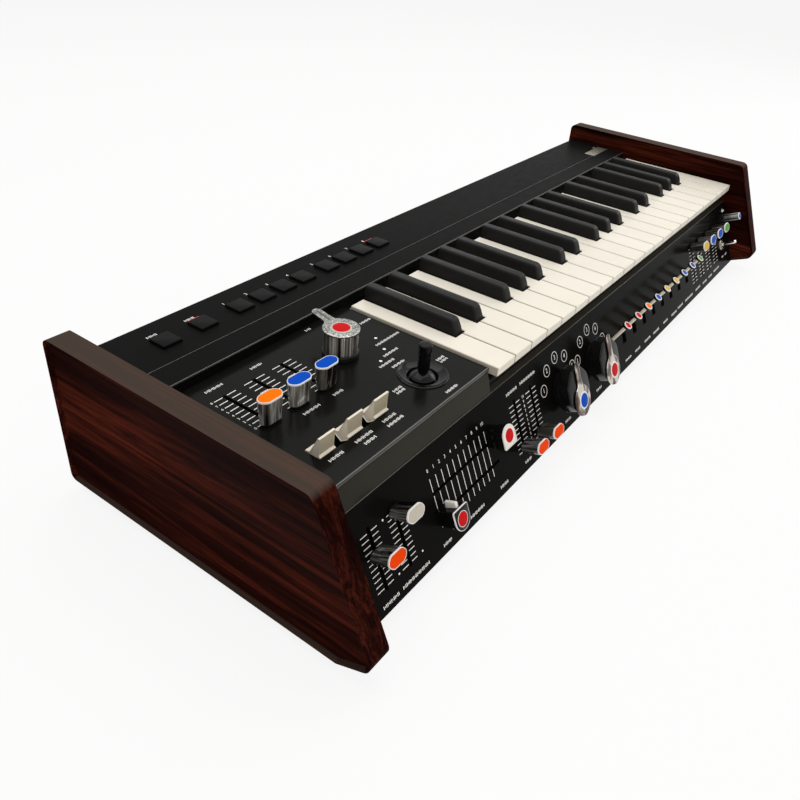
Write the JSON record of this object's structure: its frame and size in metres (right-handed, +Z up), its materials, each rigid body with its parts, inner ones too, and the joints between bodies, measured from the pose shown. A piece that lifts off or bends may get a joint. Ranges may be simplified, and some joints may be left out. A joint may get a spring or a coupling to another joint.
{
  "type": "analog synthesizer",
  "caption": "Analog keyboard synthesizer with leaning wooden cheeks, a sloping front control panel, a side control deck, a joystick and a full-size keybed.",
  "frame": {"origin": "on the floor below the middle of the case, at the feet's underside", "axes": "+X along the keyboard from low to high notes, +Y towards the rear, +Z up"},
  "size_m": [0.744, 0.256, 0.117],
  "materials": {
    "wood": "dark reddish brown, satin lacquer",
    "black_metal": "black satin paint",
    "steel": "zinc plated sheet",
    "circuit_board": "green solder mask",
    "natural_keys": "warm white, satin",
    "sharp_keys": "black, fine matt",
    "cream_plastic": "cream, satin",
    "black_plastic": "black, matt",
    "rubber": "black, matt",
    "chrome": "bright plated"
  },
  "bodies": {
    "case": {"left_cheek": "wood", "right_cheek": "wood", "bottom_pan": "black_metal", "top_cover": "black_metal", "front_panel": "black_metal", "control_deck": "black_metal", "key_frame": "steel", "main_board": "circuit_board", "reverb_tank": "steel"},
    "natural_key_01": {"natural_key_01": "natural_keys"},
    "natural_key_02": {"natural_key_02": "natural_keys"},
    "natural_key_03": {"natural_key_03": "natural_keys"},
    "natural_key_04": {"natural_key_04": "natural_keys"},
    "natural_key_05": {"natural_key_05": "natural_keys"},
    "natural_key_06": {"natural_key_06": "natural_keys"},
    "natural_key_07": {"natural_key_07": "natural_keys"},
    "natural_key_08": {"natural_key_08": "natural_keys"},
    "natural_key_09": {"natural_key_09": "natural_keys"},
    "natural_key_10": {"natural_key_10": "natural_keys"},
    "natural_key_11": {"natural_key_11": "natural_keys"},
    "natural_key_12": {"natural_key_12": "natural_keys"},
    "natural_key_13": {"natural_key_13": "natural_keys"},
    "natural_key_14": {"natural_key_14": "natural_keys"},
    "natural_key_15": {"natural_key_15": "natural_keys"},
    "natural_key_16": {"natural_key_16": "natural_keys"},
    "natural_key_17": {"natural_key_17": "natural_keys"},
    "natural_key_18": {"natural_key_18": "natural_keys"},
    "natural_key_19": {"natural_key_19": "natural_keys"},
    "natural_key_20": {"natural_key_20": "natural_keys"},
    "natural_key_21": {"natural_key_21": "natural_keys"},
    "natural_key_22": {"natural_key_22": "natural_keys"},
    "sharp_keys_low": {"sharp_keys_low": "sharp_keys"},
    "sharp_keys_middle": {"sharp_keys_middle": "sharp_keys"},
    "sharp_keys_high": {"sharp_keys_high": "sharp_keys"},
    "deck_fader_1": {"deck_fader_1": "chrome"},
    "deck_fader_2": {"deck_fader_2": "chrome"},
    "deck_fader_3": {"deck_fader_3": "chrome"},
    "rocker_tab_1": {"rocker_tab_1": "cream_plastic"},
    "rocker_tab_2": {"rocker_tab_2": "cream_plastic"},
    "rocker_tab_3": {"rocker_tab_3": "cream_plastic"},
    "mode_knob": {"mode_knob": "chrome"},
    "joystick_gimbal": {"joystick_gimbal": "steel"},
    "joystick": {"joystick": "rubber"},
    "volume_fader": {"volume_fader": "chrome"},
    "reverb_fader": {"reverb_fader": "chrome"},
    "traveler_low": {"traveler_low": "chrome"},
    "traveler_high": {"traveler_high": "chrome"},
    "attack_fader": {"attack_fader": "chrome"},
    "decay_fader": {"decay_fader": "chrome"},
    "rotary_knob_left": {"rotary_knob_left": "chrome"},
    "rotary_knob_right": {"rotary_knob_right": "chrome"},
    "lever_bank_left": {"lever_bank_left": "cream_plastic"},
    "lever_bank_right": {"lever_bank_right": "cream_plastic"},
    "right_fader_1": {"right_fader_1": "chrome"},
    "right_fader_2": {"right_fader_2": "chrome"},
    "right_fader_3": {"right_fader_3": "chrome"},
    "right_fader_4": {"right_fader_4": "chrome"},
    "toggle_switch": {"toggle_switch": "chrome"},
    "trim_knob": {"trim_knob": "chrome"},
    "program_buttons": {"program_buttons": "black_plastic"}
  },
  "joints": [
    {"name": "natural_key_01_turn", "type": "hinge", "parent": "case", "child": "natural_key_01", "pos_m": [-0.1664, 0.07799, 0.082], "axis": [1, 0, 0], "range_deg": [0, 3.5], "stiffness_Nm_per_rad": 0.3, "springref_deg": -9.74},
    {"name": "natural_key_02_turn", "type": "hinge", "parent": "case", "child": "natural_key_02", "pos_m": [-0.1422, 0.07799, 0.082], "axis": [1, 0, 0], "range_deg": [0, 3.5], "stiffness_Nm_per_rad": 0.3, "springref_deg": -9.74},
    {"name": "natural_key_03_turn", "type": "hinge", "parent": "case", "child": "natural_key_03", "pos_m": [-0.118, 0.07799, 0.082], "axis": [1, 0, 0], "range_deg": [0, 3.5], "stiffness_Nm_per_rad": 0.3, "springref_deg": -9.74},
    {"name": "natural_key_04_turn", "type": "hinge", "parent": "case", "child": "natural_key_04", "pos_m": [-0.0938, 0.07799, 0.082], "axis": [1, 0, 0], "range_deg": [0, 3.5], "stiffness_Nm_per_rad": 0.3, "springref_deg": -9.74},
    {"name": "natural_key_05_turn", "type": "hinge", "parent": "case", "child": "natural_key_05", "pos_m": [-0.0696, 0.07799, 0.082], "axis": [1, 0, 0], "range_deg": [0, 3.5], "stiffness_Nm_per_rad": 0.3, "springref_deg": -9.74},
    {"name": "natural_key_06_turn", "type": "hinge", "parent": "case", "child": "natural_key_06", "pos_m": [-0.0454, 0.07799, 0.082], "axis": [1, 0, 0], "range_deg": [0, 3.5], "stiffness_Nm_per_rad": 0.3, "springref_deg": -9.74},
    {"name": "natural_key_07_turn", "type": "hinge", "parent": "case", "child": "natural_key_07", "pos_m": [-0.0212, 0.07799, 0.082], "axis": [1, 0, 0], "range_deg": [0, 3.5], "stiffness_Nm_per_rad": 0.3, "springref_deg": -9.74},
    {"name": "natural_key_08_turn", "type": "hinge", "parent": "case", "child": "natural_key_08", "pos_m": [0.003, 0.07799, 0.082], "axis": [1, 0, 0], "range_deg": [0, 3.5], "stiffness_Nm_per_rad": 0.3, "springref_deg": -9.74},
    {"name": "natural_key_09_turn", "type": "hinge", "parent": "case", "child": "natural_key_09", "pos_m": [0.0272, 0.07799, 0.082], "axis": [1, 0, 0], "range_deg": [0, 3.5], "stiffness_Nm_per_rad": 0.3, "springref_deg": -9.74},
    {"name": "natural_key_10_turn", "type": "hinge", "parent": "case", "child": "natural_key_10", "pos_m": [0.0514, 0.07799, 0.082], "axis": [1, 0, 0], "range_deg": [0, 3.5], "stiffness_Nm_per_rad": 0.3, "springref_deg": -9.74},
    {"name": "natural_key_11_turn", "type": "hinge", "parent": "case", "child": "natural_key_11", "pos_m": [0.0756, 0.07799, 0.082], "axis": [1, 0, 0], "range_deg": [0, 3.5], "stiffness_Nm_per_rad": 0.3, "springref_deg": -9.74},
    {"name": "natural_key_12_turn", "type": "hinge", "parent": "case", "child": "natural_key_12", "pos_m": [0.0998, 0.07799, 0.082], "axis": [1, 0, 0], "range_deg": [0, 3.5], "stiffness_Nm_per_rad": 0.3, "springref_deg": -9.74},
    {"name": "natural_key_13_turn", "type": "hinge", "parent": "case", "child": "natural_key_13", "pos_m": [0.124, 0.07799, 0.082], "axis": [1, 0, 0], "range_deg": [0, 3.5], "stiffness_Nm_per_rad": 0.3, "springref_deg": -9.74},
    {"name": "natural_key_14_turn", "type": "hinge", "parent": "case", "child": "natural_key_14", "pos_m": [0.1482, 0.07799, 0.082], "axis": [1, 0, 0], "range_deg": [0, 3.5], "stiffness_Nm_per_rad": 0.3, "springref_deg": -9.74},
    {"name": "natural_key_15_turn", "type": "hinge", "parent": "case", "child": "natural_key_15", "pos_m": [0.1724, 0.07799, 0.082], "axis": [1, 0, 0], "range_deg": [0, 3.5], "stiffness_Nm_per_rad": 0.3, "springref_deg": -9.74},
    {"name": "natural_key_16_turn", "type": "hinge", "parent": "case", "child": "natural_key_16", "pos_m": [0.1966, 0.07799, 0.082], "axis": [1, 0, 0], "range_deg": [0, 3.5], "stiffness_Nm_per_rad": 0.3, "springref_deg": -9.74},
    {"name": "natural_key_17_turn", "type": "hinge", "parent": "case", "child": "natural_key_17", "pos_m": [0.2208, 0.07799, 0.082], "axis": [1, 0, 0], "range_deg": [0, 3.5], "stiffness_Nm_per_rad": 0.3, "springref_deg": -9.74},
    {"name": "natural_key_18_turn", "type": "hinge", "parent": "case", "child": "natural_key_18", "pos_m": [0.245, 0.07799, 0.082], "axis": [1, 0, 0], "range_deg": [0, 3.5], "stiffness_Nm_per_rad": 0.3, "springref_deg": -9.74},
    {"name": "natural_key_19_turn", "type": "hinge", "parent": "case", "child": "natural_key_19", "pos_m": [0.2692, 0.07799, 0.082], "axis": [1, 0, 0], "range_deg": [0, 3.5], "stiffness_Nm_per_rad": 0.3, "springref_deg": -9.74},
    {"name": "natural_key_20_turn", "type": "hinge", "parent": "case", "child": "natural_key_20", "pos_m": [0.2934, 0.07799, 0.082], "axis": [1, 0, 0], "range_deg": [0, 3.5], "stiffness_Nm_per_rad": 0.3, "springref_deg": -9.74},
    {"name": "natural_key_21_turn", "type": "hinge", "parent": "case", "child": "natural_key_21", "pos_m": [0.3176, 0.07799, 0.082], "axis": [1, 0, 0], "range_deg": [0, 3.5], "stiffness_Nm_per_rad": 0.3, "springref_deg": -9.74},
    {"name": "natural_key_22_turn", "type": "hinge", "parent": "case", "child": "natural_key_22", "pos_m": [0.3418, 0.07799, 0.082], "axis": [1, 0, 0], "range_deg": [0, 3.5], "stiffness_Nm_per_rad": 0.3, "springref_deg": -9.74},
    {"name": "sharp_keys_low_turn", "type": "hinge", "parent": "case", "child": "sharp_keys_low", "pos_m": [-0.09345, 0.07799, 0.082], "axis": [1, 0, 0], "range_deg": [0, 3.5], "stiffness_Nm_per_rad": 1.2, "springref_deg": -9.74},
    {"name": "sharp_keys_middle_turn", "type": "hinge", "parent": "case", "child": "sharp_keys_middle", "pos_m": [0.07595, 0.07799, 0.082], "axis": [1, 0, 0], "range_deg": [0, 3.5], "stiffness_Nm_per_rad": 1.2, "springref_deg": -9.74},
    {"name": "sharp_keys_high_turn", "type": "hinge", "parent": "case", "child": "sharp_keys_high", "pos_m": [0.24535, 0.07799, 0.082], "axis": [1, 0, 0], "range_deg": [0, 3.5], "stiffness_Nm_per_rad": 1.2, "springref_deg": -9.74},
    {"name": "deck_fader_1_slide", "type": "slide", "parent": "case", "child": "deck_fader_1", "axis": [0, 1, 0], "range_m": [0, 0.036]},
    {"name": "deck_fader_2_slide", "type": "slide", "parent": "case", "child": "deck_fader_2", "axis": [0, 1, 0], "range_m": [0, 0.036]},
    {"name": "deck_fader_3_slide", "type": "slide", "parent": "case", "child": "deck_fader_3", "axis": [0, 1, 0], "range_m": [0, 0.036]},
    {"name": "rocker_tab_1_turn", "type": "hinge", "parent": "case", "child": "rocker_tab_1", "pos_m": [-0.3185, -0.04416, 0.092], "axis": [1, 0, 0], "range_deg": [0, 14]},
    {"name": "rocker_tab_2_turn", "type": "hinge", "parent": "case", "child": "rocker_tab_2", "pos_m": [-0.2939, -0.04416, 0.092], "axis": [1, 0, 0], "range_deg": [0, 14]},
    {"name": "rocker_tab_3_turn", "type": "hinge", "parent": "case", "child": "rocker_tab_3", "pos_m": [-0.2693, -0.04416, 0.092], "axis": [1, 0, 0], "range_deg": [0, 14]},
    {"name": "mode_knob_turn", "type": "hinge", "parent": "case", "child": "mode_knob", "pos_m": [-0.2335, 0.01219, 0.092], "axis": [0, 0, 1], "range_deg": [-135, 0]},
    {"name": "joystick_gimbal_turn", "type": "hinge", "parent": "case", "child": "joystick_gimbal", "pos_m": [-0.216, -0.04281, 0.0835], "axis": [0, 1, 0], "range_deg": [-18, 18], "stiffness_Nm_per_rad": 0.06},
    {"name": "joystick_turn", "type": "hinge", "parent": "joystick_gimbal", "child": "joystick", "pos_m": [-0.216, -0.04281, 0.0835], "axis": [1, 0, 0], "range_deg": [-18, 18], "stiffness_Nm_per_rad": 0.06},
    {"name": "volume_fader_slide", "type": "slide", "parent": "case", "child": "volume_fader", "axis": [0, 0.4067, 0.9135], "range_m": [-0.0217, 0.0143]},
    {"name": "reverb_fader_slide", "type": "slide", "parent": "case", "child": "reverb_fader", "axis": [0, 0.4067, 0.9135], "range_m": [-0.036, 0]},
    {"name": "traveler_low_slide", "type": "slide", "parent": "case", "child": "traveler_low", "axis": [1, 0, 0], "range_m": [0, 0.064]},
    {"name": "traveler_high_slide", "type": "slide", "parent": "case", "child": "traveler_high", "axis": [1, 0, 0], "range_m": [-0.064, 0]},
    {"name": "attack_fader_slide", "type": "slide", "parent": "case", "child": "attack_fader", "axis": [0, 0.4067, 0.9135], "range_m": [-0.003, 0.033]},
    {"name": "decay_fader_slide", "type": "slide", "parent": "case", "child": "decay_fader", "axis": [0, 0.4067, 0.9135], "range_m": [-0.003, 0.033]},
    {"name": "rotary_knob_left_turn", "type": "hinge", "parent": "case", "child": "rotary_knob_left", "pos_m": [-0.089, -0.09147, 0.03974], "axis": [0, -0.9135, 0.4067], "range_deg": [-70, 70]},
    {"name": "rotary_knob_right_turn", "type": "hinge", "parent": "case", "child": "rotary_knob_right", "pos_m": [-0.0301, -0.09147, 0.03974], "axis": [0, -0.9135, 0.4067], "range_deg": [-70, 70]},
    {"name": "lever_bank_left_turn", "type": "hinge", "parent": "case", "child": "lever_bank_left", "pos_m": [0.0606, -0.08765, 0.03356], "axis": [1, 0, 0], "range_deg": [0, 74.8]},
    {"name": "lever_bank_right_turn", "type": "hinge", "parent": "case", "child": "lever_bank_right", "pos_m": [0.1695, -0.08765, 0.03356], "axis": [1, 0, 0], "range_deg": [0, 74.8]},
    {"name": "right_fader_1_slide", "type": "slide", "parent": "case", "child": "right_fader_1", "axis": [0, 0.4067, 0.9135], "range_m": [-0.036, 0]},
    {"name": "right_fader_2_slide", "type": "slide", "parent": "case", "child": "right_fader_2", "axis": [0, 0.4067, 0.9135], "range_m": [-0.036, 0]},
    {"name": "right_fader_3_slide", "type": "slide", "parent": "case", "child": "right_fader_3", "axis": [0, 0.4067, 0.9135], "range_m": [-0.036, 0]},
    {"name": "right_fader_4_slide", "type": "slide", "parent": "case", "child": "right_fader_4", "axis": [0, 0.4067, 0.9135], "range_m": [-0.036, 0]},
    {"name": "toggle_switch_turn", "type": "hinge", "parent": "case", "child": "toggle_switch", "pos_m": [0.3268, -0.09411, 0.0338], "axis": [1, 0, 0], "range_deg": [0, 18]},
    {"name": "trim_knob_turn", "type": "hinge", "parent": "case", "child": "trim_knob", "pos_m": [0.3268, -0.08158, 0.06194], "axis": [0, -0.9135, 0.4067], "range_deg": [-140, 140]},
    {"name": "program_buttons_slide", "type": "slide", "parent": "case", "child": "program_buttons", "axis": [0, 0, -1], "range_m": [0, 0.001], "stiffness_N_per_m": 600, "springref_m": -0.002}
  ]
}
